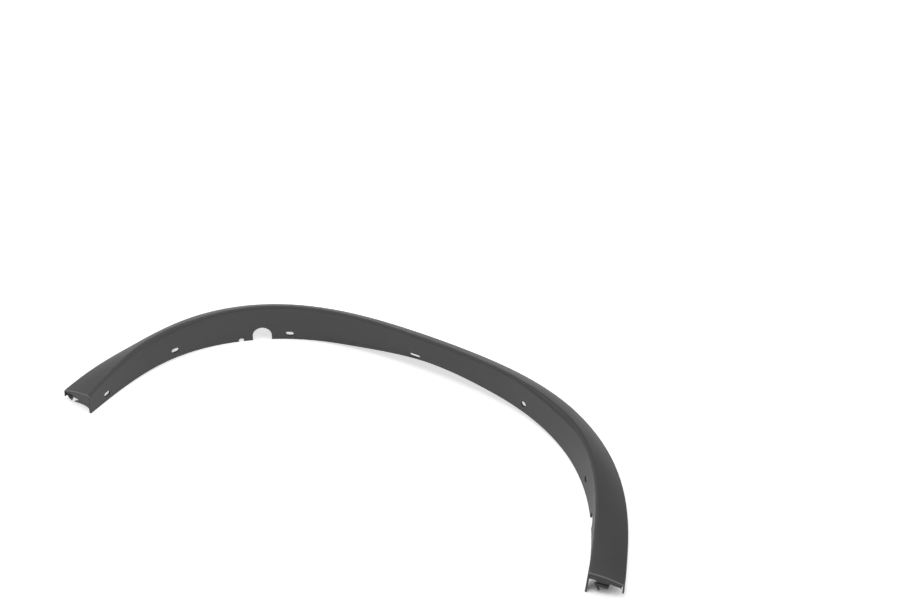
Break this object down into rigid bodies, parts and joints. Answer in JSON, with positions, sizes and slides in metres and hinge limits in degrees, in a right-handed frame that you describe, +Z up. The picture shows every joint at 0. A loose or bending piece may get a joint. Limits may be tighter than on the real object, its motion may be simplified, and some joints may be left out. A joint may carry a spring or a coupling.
{
  "type": "wheel arch trim",
  "caption": "One-piece moulded wheel arch trim with an inner return flange, fixing holes, a round-topped cut-out and clip seats behind the face.",
  "frame": {"origin": "centre of the base of the bounding box, on the floor that the trim lies on", "axes": "+X from the front end to the rear end of the arch, +Y from the open side of the arch towards its crown, +Z up, away from the car when fitted"},
  "size_m": [0.8841, 0.3436, 0.0591],
  "materials": {
    "shell": "fine grained matt moulding",
    "clip": "smooth satin"
  },
  "bodies": {
    "root": {"trim_shell": "shell", "front_clip": "clip", "rear_clip": "clip"}
  },
  "joints": []
}
